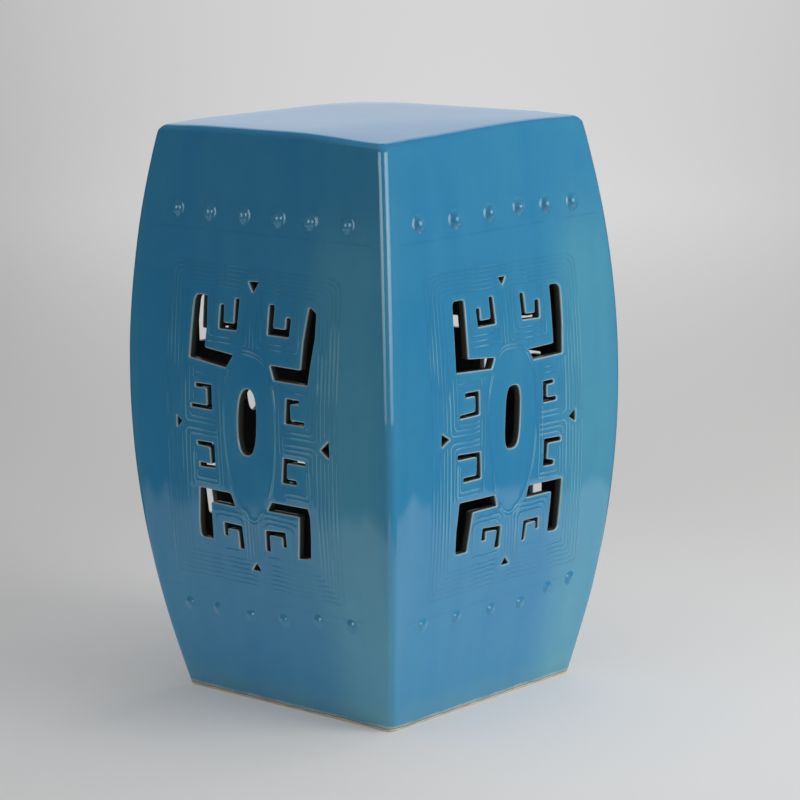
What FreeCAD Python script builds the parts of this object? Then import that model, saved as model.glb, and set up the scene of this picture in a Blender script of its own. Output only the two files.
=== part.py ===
import FreeCAD, Part

import math
import os

import Sketcher

# Ceramic garden stool: a square seat with four bowed walls, pierced with a fret, on a flat foot.
# The stool stands on the plane of X and Y, +Z is up, and the front wall faces -Y.

# Driving sizes in millimetres

SIZES = [
    ("stool_height", 460, "foot to seat"),
    ("belly_width", 283, "across the walls where they bow out most"),
    ("belly_height", 250, "foot to the widest level"),
    ("foot_width", 222, "across the walls at the foot"),
    ("corner_radius", 10, "rounding of the upright corners"),
    ("rim_radius", 8.5, "rounding of the seat's rim"),
    ("wall_thickness", 9, "clay of the walls"),
    ("seat_thickness", 13, "clay of the seat slab"),
    ("base_thickness", 12, "clay of the turned-in foot"),
    ("base_opening", 130, "across the opening in the foot"),
    ("base_opening_radius", 30, "corners of the opening in the foot"),
    ("coil_width", 11, "how far a seam coil reaches along each wall"),
    ("stud_width", 15.5, "across a stud where it meets the wall"),
    ("stud_rise", 4.5, "how far a stud stands out"),
    ("stud_pitch", 36.3, "between neighbouring studs"),
    ("upper_stud_drop", 66, "seat down to the row below the rim"),
    ("lower_stud_height", 80, "foot to the row above the foot"),
    ("front_fret_place", -5.5, "fret on the front and back walls, off their centre line"),
    ("side_fret_place", 3.8, "fret on the side walls, off their centre line"),
    ("front_grip_place", -8.7, "grip hole of the front and back walls, off their centre line"),
    ("side_grip_place", 4.4, "grip hole of the side walls, off their centre line"),
    ("grip_width", 19, "across the oval grip hole"),
    ("grip_height", 51.4, "height of the oval grip hole"),
    ("grip_end_radius", 7, "rounding of its ends"),
    ("grip_level", 233.8, "foot to its middle"),
    ("slot_width", 13, "across the upright leg of a corner slot"),
    ("nose_slant", 4.5, "how far the inner end of a corner slot leans"),
    ("upper_slot_reach", 65, "fret's centre to the outer edge of an upper corner slot"),
    ("upper_slot_nose", 20.5, "fret's centre to its inner end"),
    ("upper_slot_head", 331, "foot to its head"),
    ("upper_slot_sill", 275, "foot to its sill"),
    ("upper_slot_bar", 9.7, "height of its level leg"),
    ("upper_slot_round", 9, "rounding of its outer head"),
    ("lower_slot_reach", 62.2, "fret's centre to the outer edge of a lower corner slot"),
    ("lower_slot_nose", 21.6, "fret's centre to its inner end"),
    ("lower_slot_head", 174, "foot to its head"),
    ("lower_slot_sill", 132.6, "foot to the end of its upright leg"),
    ("lower_slot_bar", 9, "height of its level leg"),
    ("lower_slot_round", 5, "rounding of its outer end"),
    ("hook_upright", 4.6, "width of a hook's upright strokes"),
    ("hook_level", 3.7, "height of a hook's level strokes"),
    ("upper_hook_near", 16.2, "fret's centre to the near edge of an upper hook"),
    ("upper_hook_far", 37.6, "fret's centre to its far edge"),
    ("upper_hook_sill", 22.1, "level leg of the upper slot up to its sill"),
    ("upper_hook_long_arm", 22.6, "its sill up to the head of its near arm"),
    ("upper_hook_short_arm", 15.2, "its sill up to the head of its far arm"),
    ("high_hook_near", 39.4, "fret's centre to the back of a hook above the middle"),
    ("high_hook_head", 16.9, "sill of the upper slot down to its head"),
    ("high_hook_sill", 18.5, "its head down to its sill"),
    ("high_hook_upper_arm", 54.8, "fret's centre to the end of its upper arm"),
    ("high_hook_lower_arm", 60, "fret's centre to the end of its lower arm"),
    ("low_hook_near", 37.8, "fret's centre to the back of a hook below the middle"),
    ("low_hook_head", 20.8, "its sill up to its head"),
    ("low_hook_sill", 16.5, "head of the lower slot up to its sill"),
    ("low_hook_upper_arm", 60.8, "fret's centre to the end of its upper arm"),
    ("low_hook_lower_arm", 54, "fret's centre to the end of its lower arm"),
    ("lower_hook_near", 13.1, "fret's centre to the near edge of a lower hook"),
    ("lower_hook_far", 34.1, "fret's centre to its far edge"),
    ("lower_hook_head", 16.5, "level leg of the lower slot down to its head"),
    ("lower_hook_long_arm", 17.7, "its head down to the end of its near arm"),
    ("lower_hook_short_arm", 10.2, "its head down to the end of its far arm"),
    ("end_notch_width", 9.7, "across the triangles at the head and foot of the fret"),
    ("end_notch_depth", 6.6, "height of those triangles"),
    ("upper_notch_base", 344, "foot to the base of the upper triangle"),
    ("lower_notch_base", 114.4, "foot to the base of the lower triangle"),
    ("side_notch_reach", 81.7, "fret's centre to the base of a side triangle"),
    ("side_notch_width", 11, "height of a side triangle"),
    ("side_notch_depth", 8, "how far it points inward"),
    ("side_notch_level", 224.7, "foot to its point"),
]

doc = FreeCAD.newDocument("garden_stool")
sheet = doc.addObject("Spreadsheet::Sheet", "sizes")
for row, (alias, number, meaning) in enumerate(SIZES, start=1):
    sheet.set(f"A{row}", meaning)
    sheet.set(f"B{row}", str(number))
    sheet.setAlias(f"B{row}", alias)
doc.recompute()


class Size:
    """A number with the expression on the sheet that makes it."""

    def __init__(self, value, text):
        self.value = value
        self.text = text

    def __add__(self, other):
        return joined(self, "+", other, self.value + number_of(other))

    def __radd__(self, other):
        return joined(other, "+", self, number_of(other) + self.value)

    def __sub__(self, other):
        return joined(self, "-", other, self.value - number_of(other))

    def __mul__(self, other):
        return joined(self, "*", other, self.value * number_of(other))

    def __rmul__(self, other):
        return joined(other, "*", self, number_of(other) * self.value)

    def __truediv__(self, other):
        return joined(self, "/", other, self.value / number_of(other))

    def __neg__(self):
        return Size(-self.value, f"(0 - {self.text})")


def number_of(term):
    return term.value if isinstance(term, Size) else term


def text_of(term):
    return term.text if isinstance(term, Size) else str(term)


def joined(first, sign, second, value):
    return Size(value, f"({text_of(first)} {sign} {text_of(second)})")


def root(size):
    return Size(math.sqrt(size.value), f"sqrt({size.text})")


def size(alias):
    return Size(float(sheet.get(alias)), f"sizes.{alias}")


def bind(feature, name, value):
    """Ties one property of a feature to the sheet."""
    feature.setExpression(name, text_of(value))


# Sketches, bodies and zones

def new_sketch(body, name, plane):
    sketch = body.newObject("Sketcher::SketchObject", name)
    support = next(item for item in body.Origin.OriginFeatures if item.Role == plane)
    sketch.AttachmentSupport = (support, [""])
    sketch.MapMode = "FlatFace"
    return sketch


def arc_between(start, end, centre):
    """Arc that runs anticlockwise from start to end."""
    radius = (start - centre).Length
    circle = Part.Circle(centre, FreeCAD.Vector(0, 0, 1), radius)
    first = math.atan2(start.y - centre.y, start.x - centre.x)
    last = math.atan2(end.y - centre.y, end.x - centre.x)
    if last < first:
        last += 2 * math.pi
    return Part.ArcOfCircle(circle, first, last)


def closed_outline(sketch, corners, centres=None):
    """Closed outline, anticlockwise; centres gives the centre of each side that is an arc."""
    centres = centres or {}
    points = [FreeCAD.Vector(number_of(across), number_of(up), 0) for across, up in corners]
    first = sketch.GeometryCount
    count = len(corners)
    sides = []
    for side in range(count):
        start = points[side]
        end = points[(side + 1) % count]
        if side in centres:
            centre = FreeCAD.Vector(number_of(centres[side][0]), number_of(centres[side][1]), 0)
            sides.append(arc_between(start, end, centre))
        else:
            sides.append(Part.LineSegment(start, end))
    sketch.addGeometry(sides, False)

    rules = []
    bound = []
    for side in range(count):
        rules.append(Sketcher.Constraint("Coincident", first + side, 2, first + (side + 1) % count, 1))
        for kind, place in zip(("DistanceX", "DistanceY"), corners[side]):
            bound.append((sketch.ConstraintCount + len(rules), place))
            rules.append(Sketcher.Constraint(kind, -1, 1, first + side, 1, number_of(place)))
        if side in centres:
            chord = points[(side + 1) % count] - points[side]
            upright = abs(chord.y) >= abs(chord.x)
            kind = "DistanceX" if upright else "DistanceY"
            place = centres[side][0] if upright else centres[side][1]
            bound.append((sketch.ConstraintCount + len(rules), place))
            rules.append(Sketcher.Constraint(kind, -1, 1, first + side, 3, number_of(place)))
    sketch.addConstraint(rules)
    for index, place in bound:
        if isinstance(place, Size):
            bind(sketch, f"Constraints[{index}]", place)


def zone(name, low, high):
    """Box between two corners, used to take a share of a larger form."""
    box = doc.addObject("Part::Box", name)
    for side, edge, start, end in zip("xyz", ("Length", "Width", "Height"), low, high):
        bind(box, edge, end - start)
        bind(box, f"Placement.Base.{side}", start)
    return box


def combined(kind, name, base, tool):
    """Part::Common or Part::Cut of two features."""
    feature = doc.addObject(kind, name)
    feature.Base = base
    feature.Tool = tool
    return feature


def body_on(name, base):
    """Body that goes on from a form made before."""
    body = doc.addObject("PartDesign::Body", name)
    body.Label = name
    body.BaseFeature = base
    doc.recompute()
    return body


def through_cut(body, name, sketch):
    pocket = body.newObject("PartDesign::Pocket", name)
    pocket.Profile = sketch
    pocket.Type = "ThroughAll"
    pocket.SideType = "Symmetric"
    body.Tip = pocket
    return pocket


def bevelled(body, name, width, wanted):
    """Bevel on the edges whose ends the test wants."""
    doc.recompute()
    before = body.Tip
    chosen = []
    for number, edge in enumerate(before.Shape.Edges, start=1):
        if wanted(edge.firstVertex(), edge.lastVertex()):
            chosen.append(f"Edge{number}")
    bevel = body.newObject("PartDesign::Chamfer", name)
    bevel.Base = (before, chosen)
    bind(bevel, "Size", width)
    body.Tip = bevel
    doc.recompute()


def softened(body, name, radius, wanted):
    """Round of three narrow bevels that touch a circle of the radius."""
    bevelled(body, name + "_bevel", radius * (2 - math.sqrt(2)), wanted)
    small = math.tan(math.pi / 8) - math.tan(math.pi / 16)
    bevelled(body, name + "_small_bevels", radius * small, wanted)


# The bowed form: the walls follow one arc from foot to seat

height = size("stool_height")
belly = size("belly_width")
belly_level = size("belly_height")
foot = size("foot_width")
wall = size("wall_thickness")
seat = size("seat_thickness")
base = size("base_thickness")
coil = size("coil_width")
ground = Size(0.0, "0")

bow = (belly - foot) / 2
bow_radius = bow / 2 + belly_level * belly_level / (2 * bow)
bow_centre = belly / 2 - bow_radius
seat_level = height - seat
SAME_PLACE = 0.01


def half_width(level, inset=0):
    """Centre of the stool to a wall's face, inset from the outer face, at a level."""
    radius = bow_radius - inset
    rise = level - belly_level
    return bow_centre + root(radius * radius - rise * rise)


def bowed_outline(sketch, inset, floor, ceiling):
    low = half_width(floor, inset)
    high = half_width(ceiling, inset)
    corners = [(-low, floor), (low, floor), (high, ceiling), (-high, ceiling)]
    centres = {1: (bow_centre, belly_level), 3: (-bow_centre, belly_level)}
    closed_outline(sketch, corners, centres)


def bowed_form(name, inset, floor, ceiling):
    """Solid with four bowed sides, from the floor level to the ceiling level."""
    body = doc.addObject("PartDesign::Body", name)
    profile = new_sketch(body, name + "_profile", "XZ_Plane")
    bowed_outline(profile, inset, floor, ceiling)
    pad = body.newObject("PartDesign::Pad", name + "_pad")
    pad.Profile = profile
    pad.SideType = "Symmetric"
    bind(pad, "Length", 2 * belly)

    waste = new_sketch(body, name + "_waste", "YZ_Plane")
    edge = 2 * belly
    closed_outline(waste, [(-edge, -edge), (edge, -edge), (edge, 2 * height), (-edge, 2 * height)])
    bowed_outline(waste, inset, floor, ceiling)
    through_cut(body, name + "_sides", waste)
    doc.recompute()
    return body


def upright(start, end):
    return abs(start.Z - end.Z) > number_of(height) / 2


def any_edge(start, end):
    return True


bowed_block = bowed_form("bowed_block", 0, ground, height)
outer_form = body_on("outer_form", bowed_block)
softened(outer_form, "corner", size("corner_radius"), upright)
hollow = bowed_form("hollow", wall, ground, seat_level)

# Seat: a square slab with a soft rim

RIM_STEPS = 3
CORNER_TIGHTENING = 0.5


def bevelled_square(half, radius):
    """Square outline whose corners are three sides on a circle of the radius."""
    centre = half - radius
    step = math.pi / 8
    reach = radius / math.cos(step / 2)
    corners = []
    for quarter in range(4):
        start = quarter * math.pi / 2
        across = 1 if quarter in (0, 3) else -1
        up = 1 if quarter in (0, 1) else -1
        for count in range(4):
            angle = start + (count + 0.5) * step
            corners.append((
                across * centre + reach * math.cos(angle),
                up * centre + reach * math.sin(angle),
            ))
    return corners


def level_outline(body, name, level, half, radius):
    outline = new_sketch(body, name, "XY_Plane")
    bind(outline, "AttachmentOffset.Base.z", level)
    closed_outline(outline, bevelled_square(half, radius))
    return outline


def seat_slab():
    """Square slab; its rim turns in on a quarter circle of narrow bands, and its corners tighten."""
    body = doc.addObject("PartDesign::Body", "seat_top")
    body.Label = "seat_top"
    corner = size("corner_radius")
    rim = size("rim_radius")
    outlines = [level_outline(body, "seat_underside", seat_level, half_width(seat_level), corner)]
    for step in range(RIM_STEPS + 1):
        angle = step / RIM_STEPS * math.pi / 2
        turned_in = 1 - math.cos(angle)
        level = height - rim * (1 - math.sin(angle))
        half = half_width(level) - rim * turned_in
        radius = corner * (1 - CORNER_TIGHTENING * turned_in)
        outlines.append(level_outline(body, f"seat_rim_{step}", level, half, radius))
    loft = body.newObject("PartDesign::AdditiveLoft", "seat_loft")
    loft.Profile = outlines[0]
    loft.Sections = outlines[1:]
    loft.Ruled = True
    body.Tip = loft
    return body


seat_top = seat_slab()

# Foot: a flat slab inside the walls, with an opening that lets the kiln's heat through

far = 2 * belly
base_zone = zone("base_zone", (-far, -far, -base), (far, far, base))
base_frame = body_on("base_frame", combined("Part::Common", "base_blank", hollow, base_zone))


def cut_base_opening(body):
    opening = new_sketch(body, "base_opening_outline", "XY_Plane")
    edge = size("base_opening") / 2
    straight = edge - size("base_opening_radius")
    corners = [
        (straight, -edge),
        (edge, -straight),
        (edge, straight),
        (straight, edge),
        (-straight, edge),
        (-edge, straight),
        (-edge, -straight),
        (-straight, -edge),
    ]
    centres = {
        0: (straight, -straight),
        2: (straight, straight),
        4: (-straight, straight),
        6: (-straight, -straight),
    }
    closed_outline(opening, corners, centres)
    through_cut(body, "base_opening_cut", opening)


cut_base_opening(base_frame)

# Walls: four like slabs, mitred at the corners of the stool and pierced from face to face

shell = combined("Part::Cut", "shell", outer_form, hollow)
wedge = doc.addObject("PartDesign::Body", "wedge")
mitre = new_sketch(wedge, "mitre_lines", "XY_Plane")
closed_outline(mitre, [(ground, ground), (-far, -far), (far, -far)])
mitre_pad = wedge.newObject("PartDesign::Pad", "mitre_pad")
mitre_pad.Profile = mitre
bind(mitre_pad, "Length", seat_level)
wall_blank = combined("Part::Common", "wall_blank", shell, wedge)


def corner_slots():
    """Outlines of the two angled slots in one half of the fret, each with its arc's centre."""
    width = size("slot_width")
    slant = size("nose_slant")

    reach = size("upper_slot_reach")
    nose = size("upper_slot_nose")
    head = size("upper_slot_head")
    sill = size("upper_slot_sill")
    bar = sill + size("upper_slot_bar")
    curve = size("upper_slot_round")
    upper = [
        (nose + slant, sill),
        (reach, sill),
        (reach, head - curve),
        (reach - curve, head),
        (reach - width, head),
        (reach - width, bar),
        (nose, bar),
    ]
    upper_centres = {2: (reach - curve, head - curve)}

    reach = size("lower_slot_reach")
    nose = size("lower_slot_nose")
    head = size("lower_slot_head")
    sill = size("lower_slot_sill")
    bar = head - size("lower_slot_bar")
    curve = size("lower_slot_round")
    lower = [
        (reach - width, sill),
        (reach - curve, sill),
        (reach, sill + curve),
        (reach, head),
        (nose, head),
        (nose - slant, bar),
        (reach - width, bar),
    ]
    lower_centres = {1: (reach - curve, sill + curve)}
    return [(upper, upper_centres), (lower, lower_centres)]


def side_hook(which, sill, head):
    """Hook that opens outward, between two levels."""
    upright = size("hook_upright")
    level = size("hook_level")
    near = size(which + "_near")
    upper_arm = size(which + "_upper_arm")
    lower_arm = size(which + "_lower_arm")
    return [
        (near, sill),
        (lower_arm, sill),
        (lower_arm, sill + level),
        (near + upright, sill + level),
        (near + upright, head - level),
        (upper_arm, head - level),
        (upper_arm, head),
        (near, head),
    ]


def end_hook(which, back, way):
    """Hook that opens upward, way 1, or downward, way -1, from the level of its back."""
    upright = size("hook_upright")
    level = way * size("hook_level")
    near = size(which + "_near")
    far_edge = size(which + "_far")
    long_arm = back + way * size(which + "_long_arm")
    short_arm = back + way * size(which + "_short_arm")
    return [
        (near, back),
        (far_edge, back),
        (far_edge, short_arm),
        (far_edge - upright, short_arm),
        (far_edge - upright, back + level),
        (near + upright, back + level),
        (near + upright, long_arm),
        (near, long_arm),
    ]


def side_notch():
    reach = size("side_notch_reach")
    half = size("side_notch_width") / 2
    level = size("side_notch_level")
    return [(reach - size("side_notch_depth"), level), (reach, level - half), (reach, level + half)]


def end_notch(base_level, depth):
    half = size("end_notch_width") / 2
    return [(-half, base_level), (half, base_level), (ground, base_level + depth)]


def draw_grip(sketch, place):
    """Oval of four arcs that run into each other smoothly."""
    half = size("grip_width") / 2
    tall = size("grip_height") / 2
    end = size("grip_end_radius")
    level = size("grip_level")
    end_rise = tall - end
    side_radius = (half * half + end_rise * end_rise - end * end) / (2 * (half - end))
    side_centre = half - side_radius
    share = end / (side_radius - end)
    meet_across = -side_centre * share
    meet_up = end_rise + end_rise * share
    corners = [
        (place + meet_across, level - meet_up),
        (place + meet_across, level + meet_up),
        (place - meet_across, level + meet_up),
        (place - meet_across, level - meet_up),
    ]
    centres = {
        0: (place + side_centre, level),
        1: (place, level + end_rise),
        2: (place - side_centre, level),
        3: (place, level - end_rise),
    }
    closed_outline(sketch, corners, centres)


def pierce(body, fret_place, grip_place):
    """Cuts the fret and the grip hole through one wall."""
    name = body.Name
    half_fret = new_sketch(body, name + "_half_fret", "XZ_Plane")
    bind(half_fret, "AttachmentOffset.Base.x", fret_place)
    for outline, centres in corner_slots():
        closed_outline(half_fret, outline, centres)
    upper_back = size("upper_slot_sill") + size("upper_slot_bar") + size("upper_hook_sill")
    closed_outline(half_fret, end_hook("upper_hook", upper_back, 1))
    lower_back = size("lower_slot_head") - size("lower_slot_bar") - size("lower_hook_head")
    closed_outline(half_fret, end_hook("lower_hook", lower_back, -1))
    high_head = size("upper_slot_sill") - size("high_hook_head")
    closed_outline(half_fret, side_hook("high_hook", high_head - size("high_hook_sill"), high_head))
    low_sill = size("lower_slot_head") + size("low_hook_sill")
    closed_outline(half_fret, side_hook("low_hook", low_sill, low_sill + size("low_hook_head")))
    closed_outline(half_fret, side_notch())
    half_cut = through_cut(body, name + "_half_fret_cut", half_fret)
    doc.recompute()

    other_half = body.newObject("PartDesign::Mirrored", name + "_other_half")
    other_half.Originals = [half_cut]
    other_half.MirrorPlane = (half_fret, ["V_Axis"])
    body.Tip = other_half
    doc.recompute()

    middle = new_sketch(body, name + "_middle_holes", "XZ_Plane")
    bind(middle, "AttachmentOffset.Base.x", fret_place)
    depth = size("end_notch_depth")
    closed_outline(middle, end_notch(size("upper_notch_base"), -depth))
    closed_outline(middle, end_notch(size("lower_notch_base"), depth))
    draw_grip(middle, grip_place - fret_place)
    through_cut(body, name + "_middle_cut", middle)
    doc.recompute()


def facing_turn(degrees):
    """Placement that turns a piece of the front wall to another side of the stool."""
    return FreeCAD.Placement(FreeCAD.Vector(), FreeCAD.Rotation(FreeCAD.Vector(0, 0, 1), degrees))


front_slab = body_on("front_slab", wall_blank)
pierce(front_slab, size("front_fret_place"), size("front_grip_place"))
side_slab = body_on("side_slab", wall_blank)
pierce(side_slab, size("side_fret_place"), size("side_grip_place"))

SIDES = [("front", 0), ("right", 90), ("back", 180), ("left", 270)]
slabs = {"front": front_slab, "right": side_slab, "back": front_slab, "left": side_slab}
walls = []
for facing, turn in SIDES:
    wall_piece = body_on("wall_" + facing, slabs[facing])
    wall_piece.Placement = facing_turn(turn)
    walls.append(wall_piece)

# Studs: soft domes pressed on by hand, so each row sits a little off its even places

UPPER_FRONT_NUDGES = [(3, 1), (1, 0), (2, 0), (3, 0), (-1, 0), (1, 0)]
UPPER_SIDE_NUDGES = [(-2, 0), (4, -1), (8, 0), (7, 1), (4, 0), (0, -1)]
LOWER_FRONT_NUDGES = [(0, -6), (-4, -6), (-5, -6), (-5, -4), (-3, 2), (-5, 4)]
LOWER_SIDE_NUDGES = [(0, 4), (3, 2), (9, 0), (10, -2), (7, 4), (-2, 6)]
DOME_SIDES = 10
SHOULDER_SHARE = 0.68
CROWN_SHARE = 0.27

stud_rise = size("stud_rise")
stud_half = size("stud_width") / 2

dome = doc.addObject("PartDesign::Body", "dome")
dome_outline = new_sketch(dome, "dome_outline", "XY_Plane")
bind(dome_outline, "AttachmentOffset.Base.z", -stud_rise)
dome_corners = []
for count in range(DOME_SIDES):
    angle = (count + 0.5) * 2 * math.pi / DOME_SIDES
    dome_corners.append((stud_half * math.cos(angle), stud_half * math.sin(angle)))
closed_outline(dome_outline, dome_corners)
dome_pad = dome.newObject("PartDesign::Pad", "dome_pad")
dome_pad.Profile = dome_outline
bind(dome_pad, "Length", 2 * stud_rise)
dome.Tip = dome_pad


def around_top(start, end):
    """Edges round the flat top of the dome."""
    return min(start.Z, end.Z) > number_of(stud_rise) - SAME_PLACE


bevelled(dome, "dome_shoulder", stud_rise * SHOULDER_SHARE, around_top)
bevelled(dome, "dome_crown", stud_rise * CROWN_SHARE, around_top)


def stud_row(name, turn, row_level, nudges):
    """Six domes on one wall, square to its bow; the wall takes away the root of each."""
    domes = []
    for number, (aside, above) in enumerate(nudges):
        level = row_level + above
        lean = (level - belly_level) / bow_radius
        stud = doc.addObject("Part::Compound", f"{name}_{number + 1}")
        stud.Links = [dome]
        stud.Placement = FreeCAD.Placement(FreeCAD.Vector(), FreeCAD.Rotation(FreeCAD.Vector(1, 0, 0), 90))
        bind(stud, "Placement.Rotation.Angle", f"90 deg - asin({text_of(lean)})")
        bind(stud, "Placement.Base.x", (number - (len(nudges) - 1) / 2) * size("stud_pitch") + aside)
        bind(stud, "Placement.Base.y", -half_width(level))
        bind(stud, "Placement.Base.z", level)
        domes.append(stud)
    row = doc.addObject("Part::Compound", name + "_domes")
    row.Links = domes
    row.Placement = facing_turn(turn)
    seated = combined("Part::Cut", name, row, bowed_block)
    seated.Label = name
    return seated


stud_rows = []
for facing, turn in SIDES:
    on_front = facing in ("front", "back")
    upper_nudges = UPPER_FRONT_NUDGES if on_front else UPPER_SIDE_NUDGES
    lower_nudges = LOWER_FRONT_NUDGES if on_front else LOWER_SIDE_NUDGES
    stud_rows.append(stud_row("upper_studs_" + facing, turn, height - size("upper_stud_drop"), upper_nudges))
    stud_rows.append(stud_row("lower_studs_" + facing, turn, size("lower_stud_height"), lower_nudges))

# Seam coils: soft clay pressed into each inner seam and smoothed off

seam_space = bowed_form("seam_space", wall, base, seat_level)
smoothed_space = body_on("smoothed_space", seam_space)
bevelled(smoothed_space, "smoothed_seams", coil, any_edge)
seam_clay = combined("Part::Cut", "seam_clay", seam_space, smoothed_space)


def coil_share(name, low, high):
    share = combined("Part::Common", name, seam_clay, zone(name + "_zone", low, high))
    share.Label = name
    return share


coils = [
    coil_share("base_coil", (-far, -far, ground), (far, far, base + coil)),
    coil_share("seat_coil", (-far, -far, seat_level - coil), (far, far, height)),
    coil_share("corner_coil_front_left", (-far, -far, base + coil), (ground, ground, seat_level - coil)),
    coil_share("corner_coil_front_right", (ground, -far, base + coil), (far, ground, seat_level - coil)),
    coil_share("corner_coil_back_right", (ground, ground, base + coil), (far, far, seat_level - coil)),
    coil_share("corner_coil_back_left", (-far, ground, base + coil), (ground, far, seat_level - coil)),
]

# Checks and files

doc.recompute()
pieces = [seat_top, base_frame] + walls + stud_rows + coils
for feature in doc.Objects:
    if "Invalid" in feature.State or "Error" in feature.State:
        raise RuntimeError(f"{feature.Label} failed: {feature.State}")
for piece in pieces:
    if piece.Shape.isNull() or not piece.Shape.isValid():
        raise RuntimeError(f"{piece.Label} has no valid shape")

os.makedirs("parts", exist_ok=True)
for piece in pieces:
    piece.Shape.exportStep(f"parts/{piece.Label}.step")
    print(f"{piece.Label}: {len(piece.Shape.Solids)} solids, {piece.Shape.Volume / 1000:.2f} cm3")
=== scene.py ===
from itertools import groupby
import math

import bmesh
import bpy
import numpy as np
from mathutils import Matrix, Vector, geometry, kdtree


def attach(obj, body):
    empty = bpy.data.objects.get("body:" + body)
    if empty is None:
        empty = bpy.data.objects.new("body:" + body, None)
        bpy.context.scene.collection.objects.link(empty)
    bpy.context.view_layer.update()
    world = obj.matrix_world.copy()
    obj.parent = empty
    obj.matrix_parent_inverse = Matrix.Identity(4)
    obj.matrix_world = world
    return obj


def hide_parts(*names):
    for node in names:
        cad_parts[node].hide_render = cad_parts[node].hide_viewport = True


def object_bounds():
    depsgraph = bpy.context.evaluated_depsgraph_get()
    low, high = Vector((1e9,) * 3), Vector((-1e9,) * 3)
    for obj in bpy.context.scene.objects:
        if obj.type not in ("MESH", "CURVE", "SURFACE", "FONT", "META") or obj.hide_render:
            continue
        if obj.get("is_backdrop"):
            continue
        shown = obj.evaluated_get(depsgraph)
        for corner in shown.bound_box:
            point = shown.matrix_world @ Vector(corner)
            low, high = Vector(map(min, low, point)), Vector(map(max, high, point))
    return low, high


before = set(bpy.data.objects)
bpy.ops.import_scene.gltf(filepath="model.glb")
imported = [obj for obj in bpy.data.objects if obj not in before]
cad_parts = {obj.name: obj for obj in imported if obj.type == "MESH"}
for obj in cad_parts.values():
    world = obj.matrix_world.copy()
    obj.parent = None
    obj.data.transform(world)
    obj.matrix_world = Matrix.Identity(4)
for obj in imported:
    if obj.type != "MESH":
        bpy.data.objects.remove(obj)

cad_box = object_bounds()
scene = bpy.context.scene

# Camera: a long lens a little above the seat, which looks at the upright edge between the front wall
# and the right wall.

STOOL_HEIGHT = 0.460
VIEW_TURN = math.radians(42.08)
VIEW_RISE = math.radians(10.74)
VIEW_ROLL = math.radians(-0.97)
VIEW_DISTANCE = 2.4279
LENS_MM = 135.39
LENS_SHIFT = (0.0306, 0.0025)


def placed(name, data):
    """Object with this data, put in the scene."""
    thing = bpy.data.objects.new(name, data)
    scene.collection.objects.link(thing)
    return thing


def facing_stool(turn, rise, distance):
    """Placement that looks at the middle of the stool from a compass turn and a rise."""
    away = Vector((math.sin(turn) * math.cos(rise), -math.cos(turn) * math.cos(rise), math.sin(rise)))
    place = Vector((0, 0, STOOL_HEIGHT / 2)) + away * distance
    return Matrix.Translation(place) @ away.to_track_quat("Z", "Y").to_matrix().to_4x4()


camera_data = bpy.data.cameras.new("stool_camera")
camera_data.sensor_width = 36
camera_data.lens = LENS_MM
camera_data.shift_x, camera_data.shift_y = LENS_SHIFT
camera_data.clip_end = 60
camera = placed("stool_camera", camera_data)
camera.matrix_world = facing_stool(VIEW_TURN, VIEW_RISE, VIEW_DISTANCE) @ Matrix.Rotation(VIEW_ROLL, 4, "Z")
scene.camera = camera

# Studio: a pale sweep of paper under the stool, a softbox to its right, one high in front and one high
# behind. Cards that show only mirrored in the glaze give the lines on the upright edge and the seat's
# sheen. Pairs of numbers are where a change starts and ends, in metres from the stool's middle.

PAPER_RADIUS = 26
PAPER_COLOUR = (0.70, 0.692, 0.682, 1)
# Painted light on the paper: its mirror image in the glaze darkens between the first pair, and its painted
# bounce light starts between the second.
MIRRORED_PAPER = (0.44, 0.52)
STOOL_SHADE = (0.112, 0.150)
CARD_SPREAD = 80
SEAT_CARD_SPREAD = 180


def new_node(tree, kind, inputs=None, **settings):
    node = tree.nodes.new(kind)
    for name, value in settings.items():
        setattr(node, name, value)
    for slot, value in (inputs or {}).items():
        plug(tree, value, node.inputs[slot])
    return node


def plug(tree, value, socket):
    """Links a term or a socket into a socket, or sets the socket to a plain value."""
    if isinstance(value, Term):
        value = value.socket
    if isinstance(value, bpy.types.NodeSocket):
        tree.links.new(value, socket)
    else:
        socket.default_value = value


class Term:
    """A value that varies inside a node tree; arithmetic on it adds Math nodes."""

    def __init__(self, tree, socket):
        self.tree = tree
        self.socket = socket

    def math(self, operation, *others):
        inputs = dict(enumerate((self, *others)))
        return field(self.tree, "ShaderNodeMath", 0, inputs, operation=operation)

    def __add__(self, other):
        return self.math("ADD", other)

    def __sub__(self, other):
        return self.math("SUBTRACT", other)

    def __rsub__(self, other):
        return (self * -1) + other

    def __mul__(self, other):
        return self.math("MULTIPLY", other)

    def __truediv__(self, other):
        return self.math("DIVIDE", other)

    __radd__ = __add__
    __rmul__ = __mul__

    def eased(self, start, end):
        """0 before start, 1 after end, a soft step between."""
        inputs = {"Value": self, "From Min": start, "From Max": end}
        return field(self.tree, "ShaderNodeMapRange", "Result", inputs, interpolation_type="SMOOTHSTEP")


def field(tree, kind, output=0, inputs=None, **settings):
    """One output of a new node."""
    return Term(tree, new_node(tree, kind, inputs, **settings).outputs[output])


def axes_of(tree, vector):
    apart = new_node(tree, "ShaderNodeSeparateXYZ", {0: vector})
    return [Term(tree, apart.outputs[axis]) for axis in "XYZ"]


def rays(tree, *kinds):
    """For each kind of ray, 1 where such a ray arrives and 0 elsewhere."""
    path = new_node(tree, "ShaderNodeLightPath")
    return [Term(tree, path.outputs[f"Is {kind} Ray"]) for kind in kinds]


def node_material(name):
    material = bpy.data.materials.new(name)
    material.use_nodes = True
    material.node_tree.nodes.clear()
    return material, material.node_tree


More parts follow.
